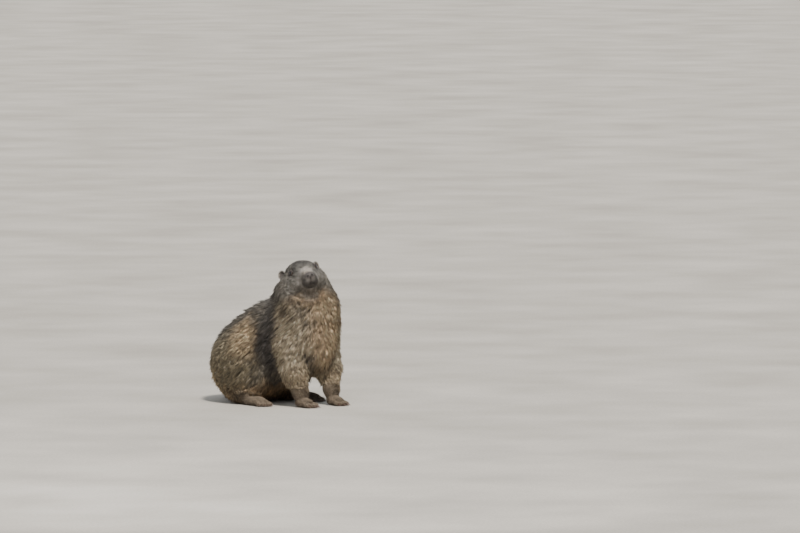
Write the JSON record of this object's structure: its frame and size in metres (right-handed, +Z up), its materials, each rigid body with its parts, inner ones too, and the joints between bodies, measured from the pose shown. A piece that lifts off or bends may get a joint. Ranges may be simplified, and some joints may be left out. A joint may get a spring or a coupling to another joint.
{
  "type": "marmot figure",
  "caption": "Alpine marmot sitting on its haunches, head turned to its right; a still life-size model with a shaggy coat, small round ears, clawed feet and its tail curled on the floor.",
  "frame": {"origin": "on the floor, under the middle of the model's bounding box", "axes": "+Z up, -Y the way the body faces, +X the animal's left side; the head is turned 33 degrees from -Y towards -X"},
  "size_m": [0.2575, 0.3737, 0.3183],
  "materials": {
    "coat_grey": "short grizzled grey fur, matt",
    "coat_straw": "long straw-tipped fur, matt",
    "coat_rust": "long olive-brown and rusty fur, matt",
    "coat_dark": "dark fur, matt",
    "bare_skin": "dark bare skin, slightly moist",
    "claw_horn": "dark horn, satin",
    "eye_dark": "dark brown, glossy"
  },
  "bodies": {
    "root": {"chest": "coat_straw", "ear_left": "coat_dark", "ear_right": "coat_dark", "eye_left": "eye_dark", "eye_right": "eye_dark", "fore_claw_left_1": "claw_horn", "fore_claw_left_2": "claw_horn", "fore_claw_left_3": "claw_horn", "fore_claw_left_4": "claw_horn", "fore_claw_right_1": "claw_horn", "fore_claw_right_2": "claw_horn", "fore_claw_right_3": "claw_horn", "fore_claw_right_4": "claw_horn", "fore_foot_left": "coat_dark", "fore_foot_right": "coat_dark", "fore_leg_left": "coat_straw", "fore_leg_right": "coat_straw", "head": "coat_grey", "hind_claw_left_1": "claw_horn", "hind_claw_left_2": "claw_horn", "hind_claw_left_3": "claw_horn", "hind_claw_left_4": "claw_horn", "hind_claw_left_5": "claw_horn", "hind_claw_right_1": "claw_horn", "hind_claw_right_2": "claw_horn", "hind_claw_right_3": "claw_horn", "hind_claw_right_4": "claw_horn", "hind_claw_right_5": "claw_horn", "hind_foot_left": "coat_dark", "hind_foot_right": "coat_dark", "hind_leg_left": "coat_rust", "hind_leg_right": "coat_rust", "neck": "coat_grey", "nose": "bare_skin", "rump": "coat_rust", "tail_end": "coat_dark", "tail_root": "coat_dark", "torso": "coat_straw"}
  },
  "joints": []
}
